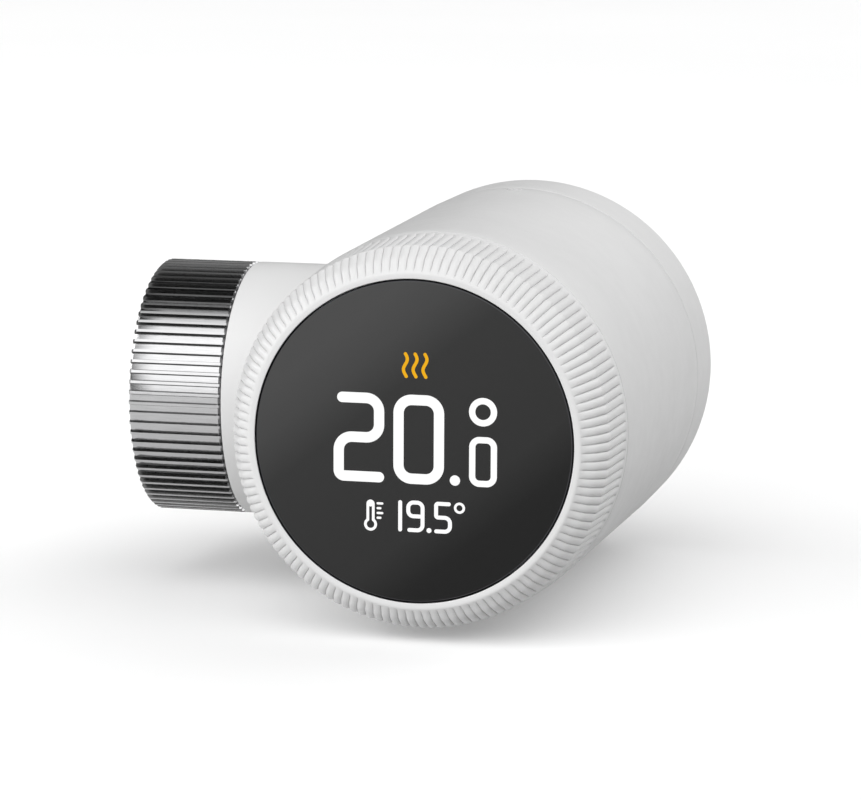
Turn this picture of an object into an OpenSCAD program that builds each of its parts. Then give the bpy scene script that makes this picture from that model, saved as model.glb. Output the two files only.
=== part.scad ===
// Motorised radiator valve head: a drum with a turning ribbed dial round a push display,
// a side arm with a union nut for the valve, and a drive that pushes the valve pin.
// Millimetres, +Z up. The origin is the centre of the union nut's open mouth; the nut opens
// towards -X and the display looks towards -Y.

/* [Drum] */
// Radius of the drum where the dial ends
drum_front_r = 26.3; // [26:0.05:28]
// Radius of the drum where the battery cap begins
drum_rear_r = 27.2; // [26.8:0.05:29]
// Length of the dial, from the front plane to the drum
dial_l = 13.05; // [12.6:0.05:16]
// Length of the drum between the dial and the battery cap
drum_l = 49.35; // [48:0.05:60]
// Length of the battery cap
cap_l = 13.1; // [12.5:0.05:16]
// Wall of the drum, the arm and the cap
wall = 1.8; // [1.5:0.1:2.2]
// Width of the seams between outer shells
seam = 0.2; // [0.1:0.05:0.4]

/* [Dial] */
// Radius of the hole round the display
dial_hole_r = 21.6; // [21.6:0.05:22]
// Radius where the ribs begin on the front
rib_start_r = 22.4; // [22.2:0.05:22.8]
// Radius of the corner between the front slope and the side
dial_corner_r = 25.65; // [25.4:0.05:27]
// Depth of that corner behind the front plane
dial_corner_y = 3.6; // [3:0.1:4.4]
// Number of ribs
rib_count = 130; // [60:2:140]
// Depth of the valleys between ribs
rib_depth = 0.35; // [0.2:0.05:0.45]
// Clicks in one turn of the dial
click_count = 36; // [24:4:48]

/* [Display] */
// Gap round the display lens
lens_gap = 0.2; // [0.15:0.05:0.35]
// Thickness of the display lens
lens_t = 1.6; // [1.2:0.1:1.8]
// Travel of the display when it is pressed
press_travel = 0.4; // [0.3:0.05:0.5]

/* [Arm and nut] */
// Depth of the arm's axis behind the front plane
arm_y = 38.3; // [36:0.1:42]
// Radius of the arm
arm_r = 18; // [17.5:0.05:19]
// Reach of the arm from the drum's axis
arm_reach = 32.6; // [31.5:0.1:36]
// Length of the union nut
nut_l = 13.31; // [12.8:0.01:16]
// Radius of the nut over its ridges
nut_r = 18; // [17.4:0.05:19]
// Number of ridges on the nut
nut_ridges = 76; // [40:2:80]
// Thread diameter of the valve
thread_d = 30; // [28:1:30]
// Thread pitch
thread_pitch = 1.5; // [1:0.25:1.5]
// Radius of the neck that the nut turns on
neck_r = 12.5; // [12:0.1:12.8]

/* [Batteries] */
// Diameter of a cell
cell_d = 14.5; // [14:0.1:14.5]
// Length of a cell with its terminal
cell_l = 50.5; // [49:0.1:50.5]
// Sideways distance from the drum's axis to the cells
cell_x = 13; // [12.8:0.1:13.2]
// Distance between the two cells' axes
cell_pitch = 16; // [15.8:0.1:16.2]

/* [Drive] */
// Gear module
gear_module = 0.6; // [0.5:0.05:0.65]
// Teeth of the motor pinion
pinion_teeth = 12; // [11:1:14]
// Teeth of the idler's wheel
idler_teeth = 32; // [28:1:34]
// Teeth of the idler's pinion
idler_pinion_teeth = 14; // [12:1:16]
// Teeth of the output wheel
output_teeth = 40; // [36:1:42]
// Width across the flat motor, along the drum
motor_w = 10; // [8:0.5:10]
// Height of the motor
motor_h = 12; // [10:0.5:12]
// Radius of the pusher's screw
screw_r = 3.2; // [2.5:0.1:3.6]
// Travel of the pusher
stroke = 4.5; // [3:0.1:5]
// Distance from the nut's mouth to the pusher's face at the end of its travel
closing_size = 11.8; // [11:0.1:12.5]

/* [Hidden] */
$fn = 96;
eps = 0.01;

// Running clearances and press fits
run_fit = 0.05;
nut_fit = 0.08;
hold_fit = 0.02;

// Stations along the drum, from the front plane
drum_front = dial_l;
drum_rear = drum_front + drum_l;
cap_rear = drum_rear + cap_l;
nut_start = arm_reach + seam - 0.05;
mouth = nut_start + nut_l;

// Shell radii
drum_slope = (drum_rear_r - drum_front_r) / drum_l;
bore_front_r = drum_front_r - wall;
bore_rear_r = drum_rear_r - wall;

// Dial, journal and what turns with the dial
lip_l = 0.85;
dial_rear = drum_front - seam;
dial_flange = 3;
dial_bore_r = dial_hole_r + 1.4;
journal_r = dial_bore_r - run_fit;
journal_front = dial_flange + 0.3;
journal_in_r = journal_r - 1.95;
pocket_r = dial_bore_r + 1.6;
magnet_l = 1.4;
detent_l = 2;
detent_front = dial_rear - 0.25 - detent_l;
magnet_front = detent_front - 0.15 - magnet_l;
groove_r = journal_r - 0.85;
detent_r = groove_r + 0.2;
click_depth = 0.35;

// Display stack
lens_r = dial_hole_r - lens_gap;
plate_t = 1;
plate_rear = lens_t + plate_t;
guide_front = plate_rear + press_travel + 0.2;
guide_t = 2.2;
guide_r = 15;
guide_pin_at = guide_r - 1.2;
led_h = 0.6;
board_front = guide_front + guide_t + led_h + 0.1;
board_t = 1.2;
board_rear = board_front + board_t;
board_r = journal_in_r - 0.6;
web_t = 1.75;
web_rear = drum_front + web_t;
button_pin_r = 1.2;
button_pin_at = board_r - 1.1;
switch_at = board_r - 2.4;
switch_w = 4;
switch_h = 1.6;
plunger_r = 0.9;

// Front screws, board posts and button pins, as angles seen from the front
screw_circle = 18.3;
front_screw_angles = [75, 130, 230, 285];
screw_body_r = 0.85;
screw_head_l = 1.2;
boss_r = 2.3;
boss_l = 8;
post_circle = 15;
post_angles = [0, 110, 250];
post_r = 1.8;
button_pin_angles = [90, 210, 330];
detent_dir = 0;

// Neck and nut
thread_minor_r = thread_d / 2 - 0.5413 * thread_pitch;
nut_web = 2.25;
neck_end = nut_start + nut_web + 2.2;
undercut_end = neck_end + 0.2;
neck_in_r = 9;
neck_tail_r = 12;
flange_r = arm_r - wall - 0.4;
arm_wall = 1.5;
flange_t = 1.95;
flange_start = arm_reach - arm_wall - flange_t - 0.05;
clip_start = nut_start + nut_web + 0.3;
clip_t = 1.2;
neck_screw_dirs = [60, 180, 300];
neck_screw_at = flange_r - 1.6;
neck_hole_r = 0.72;

// Gear planes, measured along the arm's axis away from the drum's axis
wheel_b = -2.6;
wheel_b_t = 2.8;
wheel_a = 0.7;
wheel_a_t = 2.4;
plate_at = wheel_a + wheel_a_t + 0.5;
plate_thick = 1.5;
plate_back = plate_at + plate_thick;
cover_t = 1;
cover_at = wheel_b - 0.28 - cover_t;
cover_back = cover_at + cover_t;

// Gear centres: the idler stands where both centre distances meet
out_idler = gear_module * (output_teeth + idler_pinion_teeth) / 2;
idler_motor = gear_module * (idler_teeth + pinion_teeth) / 2;
motor_at = neck_tail_r + 0.3 + motor_w / 2;
idler_y = (out_idler ^ 2 - idler_motor ^ 2 + motor_at ^ 2) / (2 * motor_at);
idler_z = sqrt(out_idler ^ 2 - idler_y ^ 2);
idler_dir = atan2(idler_y, idler_z);
motor_dir = atan2(motor_at - idler_y, -idler_z);
hub_r = 5.4;
hub_end = 18.5;
axle_r = 1;
shaft_r = 0.75;

// Gear case: its edges round the arm's axis, its fastenings and the motor behind it
case_low = -14.8;
case_high = idler_z + 9;
case_front = -13;
case_rear = motor_at + motor_w / 2 + 0.5;
case_size = [case_high - case_low, case_rear - case_front];
pillar_r = 1.3;
pillar_spots = [[-11.5, -9], [-11.5, case_rear - 2.5], [idler_z + 7.5, case_rear - 1.8]];
plate_screw_dirs = [100, 180, -100];
plate_screw_at = neck_tail_r - 1.5;
gearhead_l = 6;
motor_can_l = 11.5;
motor_screw_at = 4.5;

// Pusher at rest
pusher_face = mouth - closing_size - stroke;
tip_l = 2.8;
tip_r = 7.5;
head_l = 6.5;
screw_tail = 1;
head_start = pusher_face - tip_l - head_l;
key_w = 3;
key_r = 10.2;

// Batteries
cell_r = cell_d / 2;
cell_z = cell_pitch / 2;
tray_wall = 1;
tray_r = cell_r + 0.35 + tray_wall;
tray_front = web_rear + 1.5;
contact_y = tray_front + tray_wall;
nub_l = 1.2;
nub_r = 2.75;
contact_wire_r = 0.35;
upper_front = contact_y + 0.4;
spring_l = 3;
lower_front = upper_front + spring_l;
bridge_y = lower_front + cell_l + 0.1;
bridge_t = 0.4;
tray_rear = drum_rear - 1.9;
spigot_l = 1.95;
spigot_t = 1;

// Boards
main_z = -16;
main_t = 1.2;
main_front = arm_y - 12;
main_rear = drum_rear - 1;
main_x0 = -16.5;
main_x1 = 3;
ribbon_x = -9.3;
ribbon_w = 3.8;
ribbon_t = 0.3;
ribbon_z = -10;
board_post_spots = [main_front + 5, main_rear - 6];
board_post_x = -9;

// ---------- placing ----------

// Moves the drum's own frame, whose origin is its axis at the front plane, to the mouth
module in_place() translate([mouth, -arm_y, 0]) children();

// Local z runs backwards along the drum's axis
module along_drum() in_place() rotate([-90, 0, 0]) children();

// Local z runs outwards along the arm's axis, local x is up and local y is backwards
module along_arm() in_place() translate([0, arm_y, 0]) rotate([0, -90, 0]) children();

// A point of the drum at x, z seen from the front, with local z backwards
module at_drum(x, z, y = 0) along_drum() translate([x, -z, y]) children();

module at_arm(up, back, out = 0) along_arm() translate([up, back, out]) children();

module tube(r_out, r_in, l) {
    difference() {
        cylinder(r = r_out, h = l);
        translate([0, 0, -eps]) cylinder(r = r_in, h = l + 2 * eps);
    }
}

module block(size) translate([-size[0] / 2, -size[1] / 2, 0]) cube(size);

// ---------- gear teeth ----------

function involute(a) = tan(a) * 180 / PI - a;

// Half the angle of a tooth at radius r, with the backlash taken off the tooth
function half_tooth(r, teeth, m) =
    let (rp = teeth * m / 2, rb = rp * cos(20), a = r > rb ? acos(rb / r) : 0)
    (90 / teeth) * (1 - 0.12) + involute(20) - involute(a);

function tooth(teeth, m, i) =
    let (rp = teeth * m / 2, root = rp - 1.1 * m, tip = rp + 0.8 * m,
        base = max(root, rp * cos(20)), c = 360 * i / teeth,
        radii = [root, base + 0.02, rp, tip])
    concat(
        [for (r = radii) let (a = c - half_tooth(r, teeth, m)) r * [cos(a), sin(a)]],
        [for (k = [3:-1:0]) let (r = radii[k], a = c + half_tooth(r, teeth, m))
            r * [cos(a), sin(a)]]);

// A spur gear with a tooth centred on the direction given
module spur(teeth, l, direction) {
    rotate(direction) linear_extrude(l)
        polygon([for (i = [0:teeth - 1]) each tooth(teeth, gear_module, i)]);
}

// ---------- springs ----------

// Coil spring of round wire, its radius changing from r0 to r1 along its length
module coil(r0, r1, l, turns, wire_r) {
    sides = 8;
    steps = 16 * turns;
    function ring(k) =
        let (t = k / steps, a = 360 * turns * t, r = r0 + (r1 - r0) * t,
            z = wire_r + (l - 2 * wire_r) * t)
        [for (s = [0:sides - 1]) let (b = 360 * s / sides, q = r + wire_r * cos(b))
            [q * cos(a), q * sin(a), z + wire_r * sin(b)]];
    points = [for (k = [0:steps]) each ring(k)];
    last = steps * sides;
    faces = concat(
        [[for (s = [0:sides - 1]) s]],
        [[for (s = [sides - 1:-1:0]) last + s]],
        [for (k = [0:steps - 1]) for (s = [0:sides - 1])
            let (n = (s + 1) % sides, a = k * sides)
            [a + s, a + sides + s, a + sides + n, a + n]]);
    polyhedron(points, faces);
}

// ---------- display ----------

module display_lens() color([0.16, 0.16, 0.17]) along_drum() {
    bevel = 0.25;
    rotate_extrude() polygon([[0, 0], [lens_r - bevel, 0], [lens_r, bevel],
        [lens_r, lens_t], [0, lens_t]]);
}

module button_plate() color([0.12, 0.12, 0.13]) {
    window = [25, 26];
    difference() {
        along_drum() translate([0, 0, lens_t]) cylinder(r = lens_r - 0.2, h = plate_t);
        at_drum(0, 0, lens_t - eps) block([window[0], window[1], plate_t + 2 * eps]);
    }
    for (a = button_pin_angles)
        at_drum(button_pin_at * cos(a), button_pin_at * sin(a), plate_rear)
            cylinder(r = button_pin_r, h = web_rear - plate_rear - 3);
    at_drum(0, -switch_at, plate_rear) cylinder(r = 1.4, h = 0.85);
}

module light_guide() color([0.85, 0.85, 0.82]) {
    window = [5, 11];
    row_z = [10, 0.5, -9.3];
    difference() {
        along_drum() translate([0, 0, guide_front]) cylinder(r = guide_r, h = guide_t);
        for (k = [-1:1]) at_drum(k * 7.2, row_z[1], guide_front - eps)
            block([window[0], window[1], guide_t + 2 * eps]);
        at_drum(0, row_z[0], guide_front - eps) block([6, 4.5, guide_t + 2 * eps]);
        at_drum(0, row_z[2], guide_front - eps) block([14, 4.5, guide_t + 2 * eps]);
    }
    for (a = [45, 135, 225, 315])
        at_drum(guide_pin_at * cos(a), guide_pin_at * sin(a), guide_front + guide_t)
            cylinder(r = 0.8, h = board_front - guide_front - guide_t);
}

module led_board() color([0.1, 0.3, 0.18]) difference() {
    along_drum() translate([0, 0, board_front]) cylinder(r = board_r, h = board_t);
    for (a = button_pin_angles)
        at_drum(button_pin_at * cos(a), button_pin_at * sin(a), board_front - eps)
            cylinder(r = button_pin_r + 0.5, h = board_t + 2 * eps);
}

module display_leds() color([0.95, 0.95, 0.9]) {
    for (col = [-2:2]) for (row = [-2:2])
        at_drum(col * 3.4, row * 4.2 + 0.4, board_front - led_h) block([1.6, 0.8, led_h]);
}

module tactile_switch() color([0.15, 0.15, 0.16]) difference() {
    at_drum(0, -switch_at, board_front - switch_h) block([switch_w, switch_w, switch_h]);
    at_drum(0, -switch_at, board_front - switch_h - eps)
        cylinder(r = plunger_r + run_fit, h = switch_h - 0.25);
}

module switch_plunger() color([0.8, 0.8, 0.8]) {
    start = plate_rear + 0.9;
    at_drum(0, -switch_at, start)
        cylinder(r = plunger_r, h = board_front - 0.35 - press_travel - start);
}

// ---------- dial ----------

module dial_ring() color([0.9, 0.9, 0.9]) {
    mid_r = (rib_start_r + dial_corner_r) / 2 + 0.28;
    mid_y = dial_corner_y / 2 - 0.33;
    rib_end = dial_rear - lip_l;
    rib_end_r = drum_front_r - 0.1;
    valley = 0.36 * 360 / rib_count;
    difference() {
        along_drum() rotate_extrude($fn = 180) polygon([
            [dial_hole_r, 0], [rib_start_r, 0], [mid_r, mid_y],
            [dial_corner_r, dial_corner_y], [rib_end_r, rib_end],
            [drum_front_r, rib_end + 0.1], [drum_front_r, dial_rear],
            [pocket_r, dial_rear], [pocket_r, magnet_front - 0.05],
            [dial_bore_r, magnet_front - 0.05], [dial_bore_r, dial_flange],
            [dial_hole_r, dial_flange]]);
        for (i = [0:rib_count - 1])
            along_drum() rotate(360 * i / rib_count)
                rotate_extrude(angle = valley, $fn = 180) polygon([
                    [rib_start_r + 0.25, -0.4], [rib_start_r + 0.25, 0.05],
                    [mid_r - rib_depth * 0.7, mid_y + rib_depth * 0.7],
                    [dial_corner_r - rib_depth, dial_corner_y + 0.1],
                    [rib_end_r - rib_depth, rib_end - 0.2], [rib_end_r + 1, rib_end - 0.2],
                    [dial_corner_r + 2, -0.4]]);
    }
}

module magnet_ring() color([0.25, 0.25, 0.27]) along_drum()
    translate([0, 0, magnet_front]) tube(pocket_r - run_fit, dial_bore_r + 0.3, magnet_l);

// Ring with a wavy bore that the detent spring clicks along
module detent_ring() color([0.8, 0.8, 0.78]) along_drum()
    translate([0, 0, detent_front]) difference() {
        cylinder(r = pocket_r - run_fit, h = detent_l);
        translate([0, 0, -eps]) linear_extrude(detent_l + 2 * eps)
            polygon([for (k = [0:click_count * 4 - 1])
                let (a = 90 * k / click_count,
                    r = detent_r + click_depth * (1 - cos(90 * k)) / 2)
                r * [cos(a), sin(a)]]);
    }

module detent_spring() color([0.75, 0.75, 0.72]) {
    tip_r2 = 0.7;
    tip_at = detent_r - 0.15 - tip_r2;
    leaf_at = journal_in_r - 0.75;
    along_drum() rotate(detent_dir) translate([0, 0, detent_front + 0.2]) {
        translate([tip_at, 0, 0]) cylinder(r = tip_r2, h = detent_l - 0.4);
        translate([leaf_at, -4.5, 0]) cube([0.3, 9, detent_l - 0.4]);
        translate([leaf_at, -0.4, 0]) cube([tip_at - leaf_at, 0.8, detent_l - 0.4]);
    }
}

// ---------- front frame ----------

module front_frame() color([0.75, 0.76, 0.77]) {
    post_l = drum_front - board_rear;
    difference() {
        union() {
            along_drum() rotate_extrude() polygon([
                [journal_in_r, journal_front], [journal_r, journal_front],
                [journal_r, detent_front - 0.3], [groove_r, detent_front - 0.3],
                [groove_r, drum_front], [bore_front_r - 0.1, drum_front],
                [bore_front_r - 0.1, web_rear], [0, web_rear], [0, drum_front],
                [journal_in_r, drum_front]]);
            for (a = post_angles)
                at_drum(post_circle * cos(a), post_circle * sin(a), board_rear)
                    cylinder(r = post_r, h = post_l + eps);
            for (a = button_pin_angles)
                at_drum(button_pin_at * cos(a), button_pin_at * sin(a), drum_front - 1.6)
                    cylinder(r = button_pin_r + 1, h = 1.6 + eps);
        }
        for (a = front_screw_angles)
            at_drum(screw_circle * cos(a), screw_circle * sin(a), drum_front - eps)
                cylinder(r = screw_body_r + 0.2, h = web_t + 2 * eps);
        for (a = button_pin_angles)
            at_drum(button_pin_at * cos(a), button_pin_at * sin(a), drum_front - 2)
                cylinder(r = button_pin_r + run_fit, h = 4);
        at_drum(ribbon_x + ribbon_w / 2, ribbon_z, drum_front - eps)
            block([ribbon_w + 1, 2.4, web_t + 2 * eps]);
        along_drum() rotate(detent_dir) translate([journal_in_r - 1.5, -4.8, detent_front - 0.1])
            cube([4, 9.6, detent_l + 0.2]);
        along_drum() translate([0, 0, drum_front - eps]) cylinder(r = 6, h = web_t + 2 * eps);
    }
}

module front_screws() color([0.7, 0.7, 0.72]) for (a = front_screw_angles)
    at_drum(screw_circle * cos(a), screw_circle * sin(a), 0) difference() {
        union() {
            translate([0, 0, drum_front - screw_head_l]) cylinder(r = 1.75, h = screw_head_l);
            translate([0, 0, drum_front - eps]) cylinder(r = screw_body_r, h = web_t + 6);
        }
        translate([0, 0, drum_front - screw_head_l - 0.1]) cylinder(r = 0.9, h = 0.8, $fn = 6);
    }

// ---------- drum ----------

module body_shell() color([0.92, 0.92, 0.92]) {
    boss_front = web_rear + hold_fit;
    post_top = main_z - main_t - hold_fit;
    notch = [2.1, 1.6, 0.6];
    notch_y = drum_rear - 1.2 - notch[1];
    difference() {
        union() {
            along_drum() cylinder_between(drum_front, drum_rear, drum_front_r, drum_rear_r);
            along_arm() cylinder(r = arm_r, h = arm_reach);
        }
        difference() {
            union() {
                along_drum() cylinder_between(drum_front - 1, drum_rear + 1,
                    bore_front_r - drum_slope, bore_rear_r + drum_slope);
                along_arm() cylinder(r = arm_r - wall, h = arm_reach - arm_wall);
            }
            for (a = front_screw_angles)
                screw_boss(a, boss_front);
            for (y = board_post_spots)
                in_place() translate([board_post_x, y, post_top - boss_l])
                    cylinder(r = post_r, h = boss_l);
        }
        along_arm() cylinder(r = neck_r + 0.1, h = arm_reach + 1);
        for (a = neck_screw_dirs) along_arm() rotate(a)
            translate([neck_screw_at, 0, flange_start])
                cylinder(r = neck_hole_r, h = flange_t + 1.2);
        in_place() translate([-notch[0] / 2, notch_y, drum_rear_r - notch[2]])
            cube([notch[0], notch[1], notch[2] + 1]);
    }
}

module cylinder_between(z0, z1, r0, r1)
    translate([0, 0, z0]) cylinder(r1 = r0, r2 = r1, h = z1 - z0);

module screw_boss(a, start) {
    difference() {
        union() {
            at_drum(screw_circle * cos(a), screw_circle * sin(a), start)
                cylinder(r = boss_r, h = boss_l);
            along_drum() rotate(-a) translate([screw_circle, -0.8, start + 0.5])
                cube([bore_front_r - screw_circle + 1, 1.6, boss_l - 1]);
        }
        at_drum(screw_circle * cos(a), screw_circle * sin(a), start - eps)
            cylinder(r = screw_body_r + hold_fit, h = boss_l - 1);
    }
}

// ---------- batteries ----------

module battery_tray() color([0.2, 0.2, 0.22]) difference() {
    union() for (s = [-1, 1])
        at_drum(cell_x, s * cell_z, tray_front) cylinder(r = tray_r, h = tray_rear - tray_front);
    for (s = [-1, 1])
        at_drum(cell_x, s * cell_z, contact_y)
            cylinder(r = tray_r - tray_wall, h = tray_rear - contact_y + 1);
    at_drum(cell_x, 0, tray_rear - 20) block([7, 12, 21]);
}

module cell(flip) {
    can_l = cell_l - nub_l;
    translate([0, 0, flip ? cell_l : 0]) mirror([0, 0, flip ? 1 : 0]) {
        cylinder(r = nub_r, h = nub_l + eps);
        translate([0, 0, nub_l]) rotate_extrude() polygon([
            [0, 0], [cell_r - 0.6, 0], [cell_r, 0.6], [cell_r, can_l - 0.4],
            [cell_r - 0.4, can_l], [0, can_l]]);
    }
}

module battery_upper() color([0.2, 0.35, 0.6]) at_drum(cell_x, cell_z, upper_front) cell(false);

module battery_lower() color([0.2, 0.35, 0.6]) at_drum(cell_x, -cell_z, lower_front) cell(true);

module front_contact_plate() color([0.85, 0.8, 0.6])
    at_drum(cell_x, cell_z, contact_y + hold_fit) block([8.5, 8.5, 0.35]);

module front_contact_spring() color([0.8, 0.8, 0.8])
    at_drum(cell_x, -cell_z, contact_y + hold_fit)
        coil(5, 3, lower_front - contact_y - 2 * hold_fit, 3, contact_wire_r);

// ---------- battery cap ----------

module battery_cap() color([0.92, 0.92, 0.92]) {
    front = drum_rear + seam;
    edge = 1.6;
    inner_r = drum_rear_r - wall;
    spigot_r = bore_rear_r - 0.2;
    along_drum() rotate_extrude() polygon(concat(
        [[0, cap_rear]],
        [for (a = [90:-15:0]) [drum_rear_r - edge + edge * cos(a),
            cap_rear - edge + edge * sin(a)]],
        [[drum_rear_r, front], [spigot_r, front], [spigot_r, drum_rear - spigot_l],
            [spigot_r - spigot_t, drum_rear - spigot_l], [spigot_r - spigot_t, front + wall],
            [inner_r, front + wall], [inner_r, cap_rear - wall],
            [0, cap_rear - wall]]));
    at_drum(cell_x, 0, bridge_y + bridge_t + hold_fit)
        block([9, 24, cap_rear - wall - bridge_y - bridge_t]);
}

module cap_bridge_plate() color([0.85, 0.8, 0.6])
    at_drum(cell_x, 0, bridge_y) block([8, 2 * cell_z + 7, bridge_t]);

module cap_contact_spring() color([0.8, 0.8, 0.8])
    at_drum(cell_x, cell_z, upper_front + cell_l + 0.1)
        coil(3, 4.6, bridge_y - upper_front - cell_l - 0.1 - hold_fit, 3, contact_wire_r);

// ---------- boards ----------

module main_board() color([0.1, 0.3, 0.18]) in_place()
    translate([main_x0, main_front, main_z - main_t])
        cube([main_x1 - main_x0, main_rear - main_front, main_t]);

module board_chips() color([0.13, 0.13, 0.14]) in_place() {
    chips = [[-9, 12, 6, 6, 0.9], [-11, 22, 9, 7, 1.6], [-2, 28, 3, 4, 1.2], [-13, 4, 3, 2, 1]];
    for (c = chips) translate([c[0] - c[2] / 2, main_front + c[1] - c[3] / 2, main_z])
        cube([c[2], c[3], c[4]]);
}

module temperature_sensor() color([0.15, 0.12, 0.1]) in_place()
    translate([main_x1 - 2, main_front, main_z]) {
        for (x = [-0.5, 0.5]) translate([x - 0.15, -4, 0.1]) cube([0.3, 6, 0.3]);
        translate([0, -4.5, 0.25]) sphere(r = 1.1, $fn = 32);
    }

// Flat cable from the display board down to the main board
module ribbon_cable() color([0.85, 0.84, 0.8]) in_place()
    translate([ribbon_x, 0, 0]) rotate([90, 0, 90]) linear_extrude(ribbon_w)
        polygon([
            [board_rear + 0.05, ribbon_z], [web_rear + 1, ribbon_z],
            [main_front + 1.5, main_z + ribbon_t + 0.15], [main_front + 2.5, main_z + ribbon_t],
            [main_front + 2.5, main_z], [main_front + 1.2, main_z + 0.1],
            [web_rear + 0.9, ribbon_z - ribbon_t], [board_rear + 0.05, ribbon_z - ribbon_t]]);

// ---------- drive ----------

// A plate of the gear case, its front top corner cut back to clear the dial's side
module case_plate(at, t) difference() {
    at_arm(case_low, case_front, at) cube([case_size[0], case_size[1], t]);
    at_arm(neck_tail_r + 1, case_front - 1, at - eps)
        cube([case_size[0], 0.5 - case_front, t + 1]);
}

module gear_plate() color([0.82, 0.82, 0.8]) difference() {
    case_plate(plate_at, plate_thick);
    at_arm(0, 0, plate_at - eps) cylinder(r = hub_r + run_fit, h = plate_thick + 1);
    at_arm(idler_z, idler_y, plate_at - eps) cylinder(r = axle_r + hold_fit, h = plate_thick + 1);
    at_arm(0, motor_at, plate_at - eps) cylinder(r = 2, h = plate_thick + 1);
    for (s = [-1, 1]) at_arm(s * motor_screw_at, motor_at, plate_at - eps) {
        cylinder(r = 0.85, h = plate_thick + 1);
        cylinder(r = 1.5, h = 0.8);
    }
    for (d = plate_screw_dirs) along_arm() rotate(idler_dir + d)
        translate([plate_screw_at, 0, plate_at - eps]) cylinder(r = 0.7, h = plate_thick + 1);
}

module gear_cover() color([0.3, 0.3, 0.32]) difference() {
    case_plate(cover_at, cover_t);
    at_arm(idler_z, idler_y, cover_at - eps) cylinder(r = axle_r + hold_fit, h = cover_t + 1);
}

module cover_pillars() color([0.75, 0.75, 0.72]) for (p = pillar_spots)
    at_arm(p[0], p[1], cover_back + hold_fit)
        cylinder(r = pillar_r, h = plate_at - cover_back - 2 * hold_fit);

module plate_screws() color([0.7, 0.7, 0.72]) for (d = plate_screw_dirs)
    along_arm() rotate(idler_dir + d) translate([plate_screw_at, 0, 0]) {
        translate([0, 0, plate_at - 1]) cylinder(r = 1.3, h = 1 - hold_fit);
        translate([0, 0, plate_at - 0.5]) cylinder(r = 0.65, h = plate_thick + 5);
    }

module motor_gearhead() color([0.75, 0.65, 0.35]) difference() {
    at_arm(0, motor_at, plate_back + hold_fit) block([motor_h, motor_w, gearhead_l]);
    at_arm(0, motor_at, plate_back) cylinder(r = shaft_r + run_fit, h = 4.4);
    for (s = [-1, 1]) at_arm(s * motor_screw_at, motor_at, plate_back)
        cylinder(r = neck_hole_r, h = 3);
}

module motor_can() color([0.7, 0.7, 0.72])
    at_arm(0, motor_at, plate_back + gearhead_l + 2 * hold_fit) intersection() {
        block([motor_h, motor_w, motor_can_l]);
        cylinder(r = motor_h / 2, h = motor_can_l);
    }

module motor_screws() color([0.7, 0.7, 0.72]) for (s = [-1, 1])
    at_arm(s * motor_screw_at, motor_at, plate_at + 0.05) {
        cylinder(r = 1.4, h = 0.7);
        cylinder(r = 0.65, h = plate_thick + 2.5);
    }

module motor_pinion() color([0.85, 0.75, 0.45]) at_arm(0, motor_at) {
    translate([0, 0, wheel_a]) spur(pinion_teeth, wheel_a_t, motor_dir + 180);
    translate([0, 0, wheel_a - 0.3]) cylinder(r = shaft_r, h = plate_back + 4 - wheel_a);
}

module idler_gear() color([0.9, 0.88, 0.8]) at_arm(idler_z, idler_y) difference() {
    union() {
        translate([0, 0, wheel_a])
            spur(idler_teeth, wheel_a_t, motor_dir + 180 / idler_teeth);
        translate([0, 0, wheel_b + 0.2])
            spur(idler_pinion_teeth, wheel_a - wheel_b, idler_dir + 180);
    }
    translate([0, 0, wheel_b]) cylinder(r = axle_r + run_fit, h = 8);
}

module idler_axle() color([0.7, 0.7, 0.72]) at_arm(idler_z, idler_y, cover_at)
    cylinder(r = axle_r, h = plate_back - cover_at);

module output_gear() color([0.9, 0.88, 0.8]) at_arm(0, 0) difference() {
    union() {
        translate([0, 0, wheel_b])
            spur(output_teeth, wheel_b_t, idler_dir + 180 / output_teeth);
        translate([0, 0, wheel_b]) cylinder(r = hub_r, h = hub_end - wheel_b);
    }
    translate([0, 0, wheel_b - 1]) cylinder(r = screw_r + nut_fit, h = hub_end - wheel_b + 2);
}

module thrust_washer() color([0.7, 0.7, 0.72]) at_arm(0, 0, cover_back + hold_fit)
    tube(7, screw_r + 0.5, wheel_b - cover_back - 2 * hold_fit);

module pusher_screw() color([0.75, 0.75, 0.72]) at_arm(0, 0) {
    translate([0, 0, screw_tail]) cylinder(r = screw_r, h = head_start);
    translate([0, 0, head_start]) cylinder(r = neck_in_r - nut_fit, h = head_l);
    for (s = [0, 180]) rotate(s) translate([0, -key_w / 2, head_start])
        cube([key_r, key_w, head_l]);
}

module pusher_tip() color([0.25, 0.25, 0.27]) at_arm(0, 0, pusher_face - tip_l + hold_fit)
    cylinder(r = tip_r, h = tip_l - hold_fit);

// ---------- neck and union nut ----------

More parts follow.
